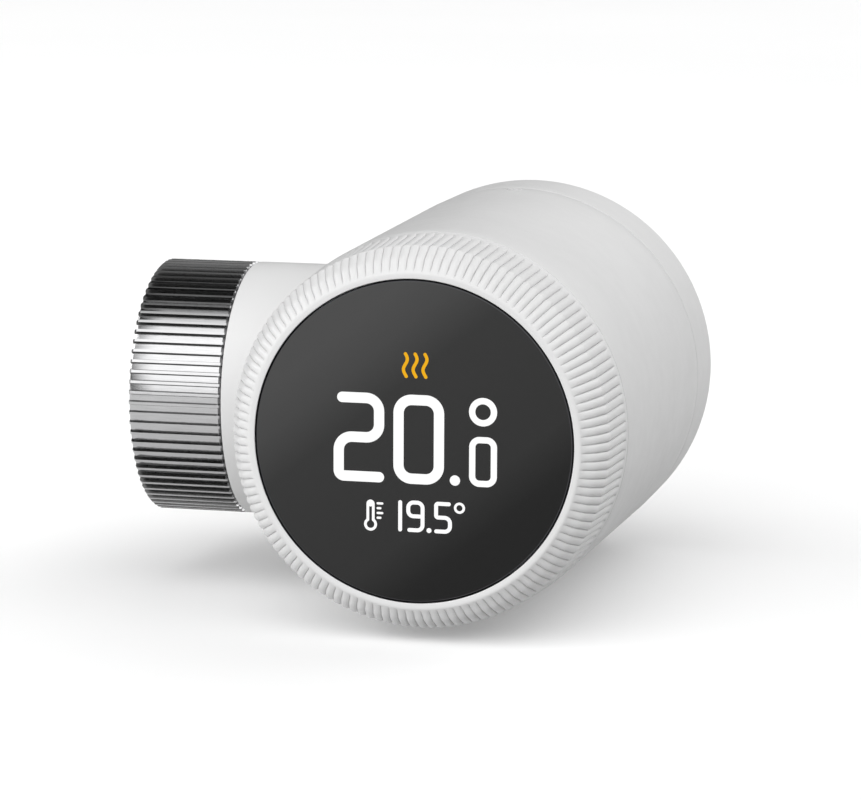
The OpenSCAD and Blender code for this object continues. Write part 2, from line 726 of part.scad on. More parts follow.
module neck_sleeve() color([0.82, 0.82, 0.8]) difference() {
    along_arm() rotate_extrude() polygon([
        [neck_in_r, plate_back + hold_fit], [neck_tail_r, plate_back + hold_fit],
        [neck_tail_r, flange_start], [flange_r, flange_start],
        [flange_r, flange_start + flange_t], [neck_r, flange_start + flange_t],
        [neck_r, arm_reach - 1.25], [neck_r - 0.9, arm_reach - 1.25],
        [neck_r - 0.9, arm_reach - 0.25], [neck_r, arm_reach - 0.25],
        [neck_r, clip_start - 0.05], [neck_r - 0.85, clip_start - 0.05],
        [neck_r - 0.85, clip_start + clip_t + 0.05], [neck_r, clip_start + clip_t + 0.05],
        [neck_r, neck_end], [neck_in_r, neck_end]]);
    for (s = [0, 180]) along_arm() rotate(s)
        translate([0, -key_w / 2 - 0.15, head_start - 1])
            cube([key_r + 0.3, key_w + 0.3, head_l + stroke + 2]);
    for (a = neck_screw_dirs) along_arm() rotate(a)
        translate([neck_screw_at, 0, flange_start - eps]) cylinder(r = 0.85, h = flange_t + 1);
    for (d = plate_screw_dirs) along_arm() rotate(idler_dir + d)
        translate([plate_screw_at, 0, plate_back]) cylinder(r = 0.67, h = 5);
}

module neck_screws() color([0.7, 0.7, 0.72]) for (a = neck_screw_dirs)
    along_arm() rotate(a) translate([neck_screw_at, 0, 0]) {
        translate([0, 0, flange_start - 1.1]) cylinder(r = 1.35, h = 1.1 - hold_fit);
        translate([0, 0, flange_start - 0.5]) cylinder(r = 0.7, h = flange_t + 1.5);
    }

module neck_seal() color([0.12, 0.12, 0.12]) along_arm()
    translate([0, 0, arm_reach - 0.75]) rotate_extrude()
        translate([neck_r - 0.42, 0]) circle(r = 0.46, $fn = 32);

module retaining_clip() color([0.6, 0.6, 0.62]) along_arm() difference() {
    translate([0, 0, clip_start]) tube(thread_minor_r - 0.2, neck_r - 0.8, clip_t);
    translate([0, -2, clip_start - 1]) cube([thread_d, 4, clip_t + 2]);
}

module union_nut() color([0.78, 0.78, 0.78]) {
    pocket_depth = 0.45;
    rim = 0.6;
    ridge = 0.3;
    step = 360 / nut_ridges;
    base_r = nut_r - pocket_depth;
    crest_r = nut_r - 0.03;
    along_arm() difference() {
        union() {
            translate([0, 0, nut_start]) cylinder(r = nut_r, h = rim);
            translate([0, 0, nut_start + rim / 2]) linear_extrude(nut_l - rim / 2)
                polygon([for (i = [0:nut_ridges - 1])
                    each [for (p = [[-ridge / 2 - 0.04, base_r], [-ridge / 2, crest_r],
                        [ridge / 2, crest_r], [ridge / 2 + 0.04, base_r]])
                        let (a = (i + p[0]) * step) p[1] * [cos(a), sin(a)]]]);
        }
        translate([0, 0, nut_start - 1]) cylinder(r = neck_r + nut_fit, h = nut_l);
        translate([0, 0, nut_start + nut_web])
            cylinder(r = thread_d / 2, h = undercut_end - nut_start - nut_web);
        translate([0, 0, nut_start + nut_web + 1]) cylinder(r = thread_minor_r, h = nut_l);
    }
}

display_lens();
button_plate();
light_guide();
led_board();
display_leds();
tactile_switch();
switch_plunger();
dial_ring();
magnet_ring();
detent_ring();
detent_spring();
front_frame();
front_screws();
body_shell();
battery_tray();
battery_upper();
battery_lower();
front_contact_plate();
front_contact_spring();
battery_cap();
cap_bridge_plate();
cap_contact_spring();
main_board();
board_chips();
temperature_sensor();
ribbon_cable();
gear_plate();
gear_cover();
cover_pillars();
plate_screws();
motor_can();
motor_gearhead();
motor_screws();
motor_pinion();
idler_gear();
idler_axle();
output_gear();
thrust_washer();
pusher_screw();
pusher_tip();
neck_sleeve();
neck_screws();
neck_seal();
retaining_clip();
union_nut();
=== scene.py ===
"""Looks of a motorised radiator valve head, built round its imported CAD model."""
import math

import bmesh
import bpy
from mathutils import Matrix, Vector


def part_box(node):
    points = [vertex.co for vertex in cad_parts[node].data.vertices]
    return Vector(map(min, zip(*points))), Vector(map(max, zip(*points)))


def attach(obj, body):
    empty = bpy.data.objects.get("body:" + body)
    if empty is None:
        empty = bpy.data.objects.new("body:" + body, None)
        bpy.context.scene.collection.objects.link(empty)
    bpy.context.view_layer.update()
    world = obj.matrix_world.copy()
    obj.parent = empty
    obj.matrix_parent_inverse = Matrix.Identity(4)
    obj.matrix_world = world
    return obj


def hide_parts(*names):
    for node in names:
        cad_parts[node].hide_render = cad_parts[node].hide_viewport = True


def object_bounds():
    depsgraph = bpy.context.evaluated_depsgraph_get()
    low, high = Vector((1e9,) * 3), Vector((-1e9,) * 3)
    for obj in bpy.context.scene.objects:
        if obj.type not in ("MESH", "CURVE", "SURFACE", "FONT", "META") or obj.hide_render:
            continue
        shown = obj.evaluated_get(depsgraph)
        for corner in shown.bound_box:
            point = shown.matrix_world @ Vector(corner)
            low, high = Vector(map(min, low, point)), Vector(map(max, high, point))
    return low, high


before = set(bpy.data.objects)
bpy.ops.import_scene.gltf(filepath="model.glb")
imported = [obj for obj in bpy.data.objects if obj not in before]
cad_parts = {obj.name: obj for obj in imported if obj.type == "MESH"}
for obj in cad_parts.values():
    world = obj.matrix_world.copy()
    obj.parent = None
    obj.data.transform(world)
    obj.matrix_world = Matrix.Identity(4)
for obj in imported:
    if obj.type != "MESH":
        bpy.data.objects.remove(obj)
CAD_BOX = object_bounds()
MM = 0.001

# ---------------------------------------------------------------- places, from the frame

DIAL_LOW, DIAL_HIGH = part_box("dial_ring")
SHELL_LOW, SHELL_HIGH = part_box("body_shell")
CAP_LOW, CAP_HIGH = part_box("battery_cap")
NUT_LOW, NUT_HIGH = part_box("union_nut")
LENS_LOW, LENS_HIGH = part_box("display_lens")

AXIS_X = (DIAL_LOW.x + DIAL_HIGH.x) / 2 / MM      # the drum's axis
FRONT_Y = DIAL_LOW.y / MM                         # the front plane
DIAL_REAR = (DIAL_HIGH.y - DIAL_LOW.y) / MM
LENS_R = (LENS_HIGH.x - LENS_LOW.x) / 2 / MM
LENS_REAR = (LENS_HIGH.y - DIAL_LOW.y) / MM
DRUM_FRONT = (SHELL_LOW.y - DIAL_LOW.y) / MM
DRUM_REAR = (SHELL_HIGH.y - DIAL_LOW.y) / MM
CAP_REAR = (CAP_HIGH.y - DIAL_LOW.y) / MM
DRUM_REAR_R = (CAP_HIGH.x - CAP_LOW.x) / 2 / MM
DRUM_FRONT_R = (DIAL_HIGH.x - DIAL_LOW.x) / 2 / MM
ARM_Y = -FRONT_Y                                  # the arm's axis, behind the front plane
ARM_END = AXIS_X - SHELL_LOW.x / MM               # reach of the arm from the drum's axis
NUT_START = AXIS_X - NUT_HIGH.x / MM
NUT_END = AXIS_X - NUT_LOW.x / MM
NUT_R = (NUT_HIGH.z - NUT_LOW.z) / 2 / MM
ARM_R = NUT_R

# sizes that the frame doesn't say, in millimetres
WALL, ARM_WALL = 1.8, 1.5                         # the shells, and the arm's end
HOLE_R = 21.6                                     # the display hole
RIB_START_R, RIB_COUNT, RIB_DEPTH = 22.4, 130, 0.36
CORNER_R, CORNER_Y = 25.65, 3.6                   # where the dial's slope meets its side
NECK_BORE_R, NUT_RIDGES = 12.58, 76
THREAD_R, THREAD_MINOR_R, THREAD_PITCH = 15.0, 14.19, 1.5
LENS_FRONT, MARK_T = 0.06, 0.03                   # depth of the lens's face; its marks' thickness
MARK_SHIFT = Vector((0.12, -0.14))                # of the display's marks from the lens's centre
FILLET = 0.8                                      # where the arm leaves the drum
DRUM_COLUMNS = 288


def drum_r(y):
    """Outer radius of the drum at a depth behind the front plane."""
    t = (y - DRUM_FRONT) / (DRUM_REAR - DRUM_FRONT)
    return DRUM_FRONT_R + (DRUM_REAR_R - DRUM_FRONT_R) * t


def at_drum(r, angle, y):
    """A point from its radius, its angle seen from the front, and its depth, as metres."""
    x = AXIS_X + r * math.cos(angle)
    return Vector((x, FRONT_Y + y, r * math.sin(angle))) * MM


def at_arm(r, angle, out):
    """A point round the arm's axis: angle 0 is up, and out is measured from the drum's axis."""
    return Vector((AXIS_X - out, r * math.sin(angle), r * math.cos(angle))) * MM


# ---------------------------------------------------------------- mesh helpers

SMOOTH_ANGLE = 35


def new_object(name, bm, smooth_angle=SMOOTH_ANGLE):
    """A mesh object from a bmesh, smooth except across edges sharper than smooth_angle."""
    bmesh.ops.recalc_face_normals(bm, faces=bm.faces)
    mesh = bpy.data.meshes.new(name)
    bm.to_mesh(mesh)
    bm.free()
    mesh.polygons.foreach_set("use_smooth", [True] * len(mesh.polygons))
    mesh.set_sharp_from_angle(angle=math.radians(smooth_angle))
    obj = bpy.data.objects.new(name, mesh)
    bpy.context.scene.collection.objects.link(obj)
    return obj


def ring(bm, r, along, columns, point):
    """A circle of vertices; point is at_drum or at_arm."""
    return [bm.verts.new(point(r, 2 * math.pi * j / columns, along)) for j in range(columns)]


def bridge(bm, one, two):
    """Quads between two closed rows of vertices."""
    for j, (a, d) in enumerate(zip(one, two)):
        k = (j + 1) % len(one)
        bm.faces.new((a, one[k], two[k], d))


def lathe(bm, rows, columns, place):
    """A closed band of quads: place(row, column) gives each point, and the rows close up."""
    grid = [[bm.verts.new(place(i, j)) for j in range(columns)] for i in range(rows)]
    for i, row in enumerate(grid):
        bridge(bm, row, grid[(i + 1) % rows])


def cylinder(bm, radius, start, end, columns, point):
    """A closed cylinder; point is at_drum or at_arm."""
    ends = []
    for along in (start, end):
        ends.append(ring(bm, radius, along, columns, point))
        bm.faces.new(ends[-1])
    bridge(bm, *ends)


def block(bm, low, high):
    """A closed box between two corners."""
    verts = [bm.verts.new((x, y, z))
             for x in (low.x, high.x) for y in (low.y, high.y) for z in (low.z, high.z)]
    for face in ((0, 1, 3, 2), (4, 6, 7, 5), (0, 4, 5, 1), (2, 3, 7, 6), (0, 2, 6, 4),
                 (1, 5, 7, 3)):
        bm.faces.new([verts[i] for i in face])


def cut(obj, bm):
    """Cuts the solid in bm out of obj."""
    tool = new_object("cutter", bm)
    modifier = obj.modifiers.new("cut", "BOOLEAN")
    modifier.object, modifier.operation, modifier.solver = tool, "DIFFERENCE", "EXACT"
    bpy.context.view_layer.update()
    graph = bpy.context.evaluated_depsgraph_get()
    mesh = bpy.data.meshes.new_from_object(obj.evaluated_get(graph))
    obj.modifiers.clear()
    obj.data = mesh
    mesh.set_sharp_from_angle(angle=math.radians(SMOOTH_ANGLE))
    bpy.data.objects.remove(tool)


def arc(centre, radius, start, end, steps):
    """Points of an arc about centre, its angles in degrees from the first axis."""
    points = []
    for k in range(steps + 1):
        a = math.radians(start + (end - start) * k / steps)
        points.append((centre[0] + radius * math.cos(a), centre[1] + radius * math.sin(a)))
    return points


def turned(vector, angle):
    """A flat vector turned anticlockwise."""
    c, s = math.cos(angle), math.sin(angle)
    return Vector((vector.x * c - vector.y * s, vector.x * s + vector.y * c))


def rounded(points, radii, steps=5, closed=True):
    """A polyline with its corners turned into arcs; radii has one radius for each point."""
    out = []
    count = len(points)
    for i, (p, radius) in enumerate(zip(points, radii)):
        last, here, after = points[i - 1], Vector(p), points[(i + 1) % count]
        if radius <= 0 or not closed and i in (0, count - 1):
            out.append(tuple(here))
            continue
        a = (Vector(last) - here).normalized()
        b = (Vector(after) - here).normalized()
        half = a.angle(b) / 2
        reach = radius / math.tan(half)
        centre = here + (a + b).normalized() * radius / math.sin(half)
        start = here + a * reach - centre
        turn = start.angle_signed(here + b * reach - centre)
        out += [tuple(centre + turned(start, -turn * k / steps)) for k in range(steps + 1)]
    return out


def spread(points, longest):
    """The same closed outline with points added so that no side is longer than longest."""
    out = []
    for i, p in enumerate(points):
        q = points[(i + 1) % len(points)]
        parts = max(1, math.ceil(math.dist(p, q) / longest))
        for k in range(parts):
            t = k / parts
            out.append((p[0] + (q[0] - p[0]) * t, p[1] + (q[1] - p[1]) * t))
    return out


def soften(t):
    """0 to 1 with level ends."""
    t = min(max(t, 0.0), 1.0)
    return t * t * (3 - 2 * t)


def dress(obj, body, slot, material, *replaced):
    """Gives a piece its material and body, and hides the CAD nodes that it stands for."""
    obj.data.materials.clear()
    obj.data.materials.append(material)
    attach(obj, body)
    if replaced:
        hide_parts(*replaced)
    return obj


# ---------------------------------------------------------------- materials

class Nodes:
    """Short calls for building one material's node tree."""

    def __init__(self, name):
        self.material = bpy.data.materials.new(name)
        self.material.use_nodes = True
        self.tree = self.material.node_tree
        self.shader = self.tree.nodes["Principled BSDF"]
        self.place = self.add("ShaderNodeTexCoord").outputs["Object"]

    def add(self, kind, **values):
        node = self.tree.nodes.new(kind)
        for key, value in values.items():
            setattr(node, key, value)
        return node

    def link(self, source, target):
        self.tree.links.new(source, target)

    def set(self, **values):
        for key, value in values.items():
            self.shader.inputs[key.replace("_", " ")].default_value = value

    def noise(self, scale, detail=3.0, stretch=(1, 1, 1)):
        """Noise over the object, with scale in features per metre."""
        mapping = self.add("ShaderNodeMapping")
        mapping.inputs["Scale"].default_value = stretch
        noise = self.add("ShaderNodeTexNoise")
        noise.inputs["Scale"].default_value = scale
        noise.inputs["Detail"].default_value = detail
        self.link(self.place, mapping.inputs["Vector"])
        self.link(mapping.outputs["Vector"], noise.inputs["Vector"])
        return noise.outputs["Fac"]

    def range(self, source, low, high, start=0.3, end=0.7):
        node = self.add("ShaderNodeMapRange")
        node.inputs["From Min"].default_value = start
        node.inputs["From Max"].default_value = end
        node.inputs["To Min"].default_value = low
        node.inputs["To Max"].default_value = high
        self.link(source, node.inputs["Value"])
        return node.outputs["Result"]

    def ramp(self, source, stops):
        node = self.add("ShaderNodeValToRGB")
        ramp = node.color_ramp
        while len(ramp.elements) < len(stops):
            ramp.elements.new(0.5)
        for element, (at, color) in zip(ramp.elements, stops):
            element.position = at
            element.color = (*color, 1)
        self.link(source, node.inputs["Fac"])
        return node.outputs["Color"]

    def color(self, source):
        self.link(source, self.shader.inputs["Base Color"])

    def rough(self, source):
        self.link(source, self.shader.inputs["Roughness"])

    def bump(self, source, depth, strength=1.0):
        """Bump whose height is depth metres."""
        node = self.add("ShaderNodeBump")
        node.inputs["Strength"].default_value = strength
        node.inputs["Distance"].default_value = depth
        self.link(source, node.inputs["Height"])
        self.link(node.outputs["Normal"], self.shader.inputs["Normal"])


def moulded(name, color, rough=0.42, grain=9000, depth=6e-6, spread_by=0.02, specular=0.5):
    """Moulded plastic: fine grain of depth metres, slightly uneven gloss and tint."""
    n = Nodes(name)
    dark = tuple(max(c - spread_by, 0) for c in color)
    n.color(n.ramp(n.noise(60), [(0.35, dark), (0.65, color)]))
    n.rough(n.range(n.noise(400), rough - 0.04, rough + 0.05))
    n.set(Specular_IOR_Level=specular)
    n.bump(n.noise(grain, 2.0), depth)
    return n.material


def metal(name, color, rough=0.28, grain=(1, 1, 1), scale=3000, depth=4e-6):
    """Metal whose fine marks are drawn out by the grain's stretch."""
    n = Nodes(name)
    n.set(Metallic=1.0)
    dark = tuple(c * 0.88 for c in color)
    n.color(n.ramp(n.noise(scale / 4, 4.0, grain), [(0.3, dark), (0.7, color)]))
    n.rough(n.range(n.noise(scale, 3.0, grain), rough - 0.08, rough + 0.08))
    n.bump(n.noise(scale, 3.0, grain), depth)
    return n.material


def glowing(name, color, strength):
    """A lit mark on the display, with a faint unevenness."""
    n = Nodes(name)
    dim = tuple(c * 0.94 for c in color)
    shade = n.ramp(n.noise(500), [(0.3, dim), (0.7, color)])
    n.set(Base_Color=(0, 0, 0, 1), Roughness=0.6, Emission_Strength=strength,
          Specular_IOR_Level=0.05)
    n.link(shade, n.shader.inputs["Emission Color"])
    return n.material


# the window's greys from its lower right to its upper left: its dark tint with a painted
# reflection lightening it towards the upper left
WINDOW_TINT_AND_SHEEN = [(0.0, 0.011), (0.06, 0.012), (0.22, 0.024), (0.7, 0.028), (0.86, 0.046),
                (1.0, 0.055)]


def smoked_window_painted_sheen():
    """The display's dark window: a satin pane with a painted reflection that lightens it towards
    its upper left.
    """
    slant, reach = -0.8, 0.022
    n = Nodes("smoked_window_painted_sheen")
    split = n.add("ShaderNodeSeparateXYZ")
    n.link(n.place, split.inputs["Vector"])
    across = n.add("ShaderNodeMath", operation="MULTIPLY")
    across.inputs[1].default_value = slant
    n.link(split.outputs["X"], across.inputs[0])
    total = n.add("ShaderNodeMath", operation="ADD")
    n.link(across.outputs[0], total.inputs[0])
    n.link(split.outputs["Z"], total.inputs[1])
    middle = slant * AXIS_X * MM
    # painted reflection: the pane's grey rises along this slant towards its upper left
    painted_sheen_at = n.range(total.outputs[0], 0.0, 1.0, middle - reach, middle + reach)
    n.color(n.ramp(painted_sheen_at, [(at, (grey, grey, grey)) for at, grey in WINDOW_TINT_AND_SHEEN]))
    n.rough(n.range(n.noise(900), 0.5, 0.56))
    n.set(Specular_IOR_Level=0.1)
    n.bump(n.noise(14000, 1.0), 1.5e-6)
    return n.material


def board_green(name):
    """Solder mask over a faint grid of tracks."""
    n = Nodes(name)
    bricks = n.add("ShaderNodeTexBrick", offset=0.5)
    bricks.inputs["Scale"].default_value = 260
    bricks.inputs["Color1"].default_value = (0.01, 0.085, 0.04, 1)
    bricks.inputs["Color2"].default_value = (0.012, 0.1, 0.05, 1)
    bricks.inputs["Mortar"].default_value = (0.03, 0.2, 0.09, 1)
    bricks.inputs["Mortar Size"].default_value = 0.012
    n.link(n.place, bricks.inputs["Vector"])
    n.color(bricks.outputs["Color"])
    n.rough(n.range(n.noise(700), 0.25, 0.4))
    n.set(Coat_Weight=0.3)
    n.bump(bricks.outputs["Fac"], 1e-5)
    return n.material


def cell_jacket(name, low_y, high_y):
    """A cell's printed film: bright metal ends, a dark band and a plain coloured body."""
    n = Nodes(name)
    split = n.add("ShaderNodeSeparateXYZ")
    n.link(n.place, split.inputs["Vector"])
    along = n.range(split.outputs["Y"], 0.0, 1.0, low_y, high_y)
    film_start, band_start, film_end = 0.035, 0.68, 0.97
    bare, jacket, band = (0.6, 0.6, 0.6), (0.02, 0.05, 0.16), (0.55, 0.33, 0.08)
    shade = n.ramp(along, [(0.0, bare), (film_start, jacket), (band_start, band),
                           (film_end, bare)])
    shade.node.color_ramp.interpolation = "CONSTANT"
    metallic = n.ramp(along, [(0.0, (1, 1, 1)), (film_start, (0, 0, 0)), (film_end, (1, 1, 1))])
    metallic.node.color_ramp.interpolation = "CONSTANT"
    n.color(shade)
    n.link(metallic, n.shader.inputs["Metallic"])
    n.rough(n.range(n.noise(500), 0.22, 0.32))
    n.bump(n.noise(2500), 4e-6)
    return n.material


white = moulded("white_plastic", (0.62, 0.62, 0.62))
dial_white = moulded("dial_plastic", (0.64, 0.64, 0.64), rough=0.38)
window = smoked_window_painted_sheen()
lit_white = glowing("lit_white", (1.0, 1.0, 1.0), 1.06)
lit_amber = glowing("lit_amber", (0.9, 0.45, 0.012), 1.0)
nickel = metal("nickel", (0.46, 0.46, 0.465), 0.16, (1, 14, 14), 1500, 2e-6)
# dark nickel for the nut's pocket walls: painted shade in the grooves
nickel_painted_groove_shade = metal("nickel_painted_groove_shade", (0.1, 0.1, 0.1), 0.3, (1, 14, 14), 1500, 2e-6)
steel = metal("steel", (0.56, 0.56, 0.58), 0.28)
spring_steel = metal("spring_steel", (0.55, 0.55, 0.57), 0.2)
brass = metal("brass", (0.72, 0.52, 0.24), 0.28)
motor_steel = metal("motor_steel", (0.6, 0.6, 0.62), 0.3, (1, 1, 12), 1200)
pusher_metal = metal("pusher_metal", (0.62, 0.63, 0.64), 0.26, (12, 1, 1), 1500)
# black plastic for the black parts; it also paints shade on the dial's hole wall and the lens's
# rim
black_plastic = moulded("black_plastic", (0.03, 0.03, 0.033), 0.5, spread_by=0.006)
grey_plastic = moulded("grey_plastic", (0.5, 0.51, 0.52), 0.48)
acetal = moulded("acetal", (0.78, 0.75, 0.68), 0.35, spread_by=0.03)
diffuser = moulded("diffuser_white", (0.82, 0.82, 0.8), 0.5)
epoxy = moulded("epoxy_black", (0.02, 0.02, 0.021), 0.4, spread_by=0.004)
film = moulded("flat_cable_film", (0.66, 0.64, 0.58), 0.35, spread_by=0.03)
rubber = moulded("seal_rubber", (0.02, 0.02, 0.02), 0.7, grain=5000, depth=1e-5, spread_by=0.005)
board = board_green("solder_mask")

# ---------------------------------------------------------------- carried-over CAD nodes

UPPER_LOW, UPPER_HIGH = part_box("battery_upper")
LOWER_LOW, LOWER_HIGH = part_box("battery_lower")
NODE_LOOKS = {
    "button_plate": black_plastic, "light_guide": diffuser, "led_board": board,
    "display_leds": diffuser, "tactile_switch": epoxy, "switch_plunger": steel,
    "magnet_ring": epoxy, "detent_ring": acetal, "detent_spring": spring_steel,
    "front_frame": grey_plastic, "front_screws": steel, "battery_tray": black_plastic,
    "battery_upper": cell_jacket("cell_upper", UPPER_HIGH.y, UPPER_LOW.y),
    "battery_lower": cell_jacket("cell_lower", LOWER_LOW.y, LOWER_HIGH.y),
    "front_contact_plate": brass, "front_contact_spring": spring_steel,
    "cap_bridge_plate": brass, "cap_contact_spring": spring_steel, "main_board": board,
    "board_chips": epoxy, "temperature_sensor": epoxy, "ribbon_cable": film,
    "gear_plate": acetal, "gear_cover": black_plastic, "cover_pillars": acetal,
    "plate_screws": steel, "motor_can": motor_steel, "motor_gearhead": brass,
    "motor_screws": steel, "motor_pinion": brass, "idler_gear": acetal, "idler_axle": steel,
    "output_gear": acetal, "thrust_washer": steel, "pusher_screw": pusher_metal,
    "pusher_tip": black_plastic, "neck_sleeve": grey_plastic, "neck_screws": steel,
    "neck_seal": rubber, "retaining_clip": spring_steel,
}
for node_name, look in NODE_LOOKS.items():
    node_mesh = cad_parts[node_name].data
    node_mesh.materials.clear()
    node_mesh.materials.append(look)


# ---------------------------------------------------------------- dial

def rib_height(t):
    """Height of the ribs, 0 to 1, at t turns of one rib: round crests, narrow valleys."""
    return abs(math.cos(math.pi * t)) ** 0.42


# where the columns of one rib stand, closer together in the valley
RIB_COLUMNS = [0.0, 0.14, 0.26, 0.36, 0.43, 0.475, 0.5, 0.525, 0.57, 0.64, 0.74, 0.86]


def dial():
    """The ribbed ring, with the display hole's wall painted black as shade for the gap round the
    lens.
    """
    rib_end = DIAL_REAR - 0.75
    bore, pocket = HOLE_R + 1.4, HOLE_R + 3.0
    flange, pocket_front = 3.0, 9.1
    slope_mid = (1.45, 24.32)
    outline = spread(rounded(
        [(0, HOLE_R), (0, RIB_START_R), slope_mid, (CORNER_Y, CORNER_R),
         (rib_end, DRUM_FRONT_R - 0.1), (DIAL_REAR, DRUM_FRONT_R), (DIAL_REAR, pocket),
         (pocket_front, pocket), (pocket_front, bore), (flange, bore), (flange, HOLE_R)],
        [0.12, 0.7, 3.2, 0.35, 0.1, 0.12, 0.1, 0.1, 0.1, 0.1, 0.1], 6), 0.55)

    def depth(y, r):
        """How deep the valleys are at a point of the outline: nothing inside the ring."""
        outer_skin = r > pocket + 0.2 or y < flange - 0.8
        if r <= RIB_START_R or y >= rib_end or not outer_skin:
            return 0.0
        fade_in = soften((r - RIB_START_R - 0.1) / 0.75)
        fade_out = soften((rib_end - y) / 0.3)
        return RIB_DEPTH * min(fade_in, fade_out)

    def place(i, j):
        rib, column = divmod(j, len(RIB_COLUMNS))
        angle = 2 * math.pi * (rib + RIB_COLUMNS[column]) / RIB_COUNT
        before, after = Vector(outline[i - 1]), Vector(outline[(i + 1) % len(outline)])
        along = (after - before).normalized()
        y, r = outline[i]
        sink = depth(y, r) * (1 - rib_height(RIB_COLUMNS[column]))
        return at_drum(r - along.x * sink, angle, y + along.y * sink)

    bm = bmesh.new()
    lathe(bm, len(outline), RIB_COUNT * len(RIB_COLUMNS), place)
    obj = new_object("dial", bm, 60)
    dress(obj, "dial", "white_dial", dial_white, "dial_ring")
    # the second material, black, paints shade on the hole's wall to darken the narrow gap round
    # the lens
    obj.data.materials.append(black_plastic)
    for face in obj.data.polygons:
        x, y, z = face.center / MM
        in_hole = math.hypot(x - AXIS_X, z) < HOLE_R + 0.05 and y - FRONT_Y > 0.2
        face.material_index = int(in_hole)
    return obj


# ---------------------------------------------------------------- display

def lens():
    """The smoked pane that carries the display's marks, with a black edge painted as the gap's
    shade.
    """
    columns, middle_r, edge = 360, 0.2, 0.14
    outline = rounded([(LENS_FRONT, middle_r), (LENS_FRONT, LENS_R), (LENS_REAR, LENS_R),
                       (LENS_REAR, middle_r)], [0, 0.22, 0.1, 0])
    bm = bmesh.new()
    rings = [ring(bm, r, y, columns, at_drum) for y, r in outline]
    for one, two in zip(rings, rings[1:]):
        bridge(bm, one, two)
    for row, y in ((rings[0], LENS_FRONT), (rings[-1], LENS_REAR)):
        middle = bm.verts.new(at_drum(0, 0, y))
        for j in range(columns):
            bm.faces.new((middle, row[j], row[(j + 1) % columns]))
    obj = dress(new_object("lens", bm), "display", "dark_glass", window, "display_lens")
    # the lens's outer rim is painted black: painted shade of the narrow gap between lens and ring
    obj.data.materials.append(black_plastic)
    for face in obj.data.polygons:
        x, y, z = face.center / MM
        face.material_index = int(math.hypot(x - AXIS_X, z) > LENS_R - edge)
    return obj


SHARPEST_MITRE = 0.3                              # cosine of half the turn


def stroke_sides(points, half, closed):
    """The two edges of a stroke, mitred at its corners."""
    left, right = [], []
    for i, p in enumerate(points):
        before = points[i - 1] if closed or i else p
        after = points[(i + 1) % len(points)] if closed or i < len(points) - 1 else p
        into = (p - before).normalized() if before != p else (after - p).normalized()
        out = (after - p).normalized() if after != p else into
        along = (into + out).normalized()
        side = Vector((-along.y, along.x)) * half / max(along.dot(into), SHARPEST_MITRE)
        left.append(p + side)
        right.append(p - side)
    return left, right


def mark_row(bm, points, y):
    """Vertices on the lens at points (x, z) from its centre."""
    places = [p + MARK_SHIFT for p in points]
    return [bm.verts.new(Vector((AXIS_X + p.x, FRONT_Y + y, p.y)) * MM) for p in places]


def open_stroke(bm, points, left, right, front, back):
    """A stroke with round ends: its sides, then its front and back as a strip and two ends."""
    steps = 12

    def half_turn(tip, start):
        return [tip + turned(start - tip, -math.pi * k / steps) for k in range(1, steps)]

    outline = (left + half_turn(points[-1], left[-1]) + right[::-1]
               + half_turn(points[0], right[0]))
    top, under = mark_row(bm, outline, front), mark_row(bm, outline, back)
    bridge(bm, top, under)
    count, ends = len(points), steps - 1
    for verts in (top, under):
        lefts, end_cap = verts[:count], verts[count:count + ends]
        rights = verts[count + ends:2 * count + ends][::-1]
        start_cap = verts[2 * count + ends:]
        for i in range(count - 1):
            bm.faces.new((lefts[i], lefts[i + 1], rights[i + 1], rights[i]))
        bm.faces.new([lefts[-1]] + end_cap + [rights[-1]])
        bm.faces.new([rights[0]] + start_cap + [lefts[0]])


def stroke(bm, points, width, closed=False):
    """A flat mark of even width along points (x, z) on the lens."""
    points = [Vector(p) for p in points]
    left, right = stroke_sides(points, width / 2, closed)
    front, back = LENS_FRONT - MARK_T, LENS_FRONT
    if not closed:
        open_stroke(bm, points, left, right, front, back)
        return
    rows = [mark_row(bm, side, y) for side, y in
            ((left, front), (right, front), (right, back), (left, back))]
    for a, row in enumerate(rows):
        bridge(bm, row, rows[(a + 1) % len(rows)])


def dot(bm, centre, radius):
    """A round mark: a stroke of next to no length."""
    x, z = centre
    stroke(bm, [(x - 0.001, z), (x + 0.001, z)], 2 * radius)


def ring_mark(bm, centre, radius, width):
    """A small ring, as in a degree sign."""
    steps = 48
    points = arc(centre, radius, 0, 360, steps)[:steps]
    stroke(bm, points, width, closed=True)


def marks(name, draw, material):
    """One lit piece of the display; draw adds its strokes to a bmesh."""
    bm = bmesh.new()
    draw(bm)
    return dress(new_object(name, bm), "display", "led", material)


def big_two(bm):
    left, right, top, middle, low = -10.16, -4.67, 5.78, 0.53, -4.72
    points = [(left + 0.48, top), (right, top), (right, middle), (left, middle), (left, low),
              (right, low)]
    stroke(bm, rounded(points, [0, 1.74, 1.74, 1.78, 0.72, 0], 10, False), 1.39)


def zero(bm, left, right, top, low, corner, steps, width):
    """A tall zero with round corners."""
    points = [(left, top), (right, top), (right, low), (left, low)]
    stroke(bm, rounded(points, [corner] * 4, steps), width, closed=True)


def big_zero(bm):
    zero(bm, -2.03, 3.43, 5.78, -4.71, 1.78, 12, 1.38)
    dot(bm, (5.61, -4.67), 0.69)


def small_zero(bm):
    zero(bm, 7.92, 10.82, 0.86, -4.94, 0.97, 10, 0.83)
    ring_mark(bm, (9.33, 4.57), 1.46, 0.84)


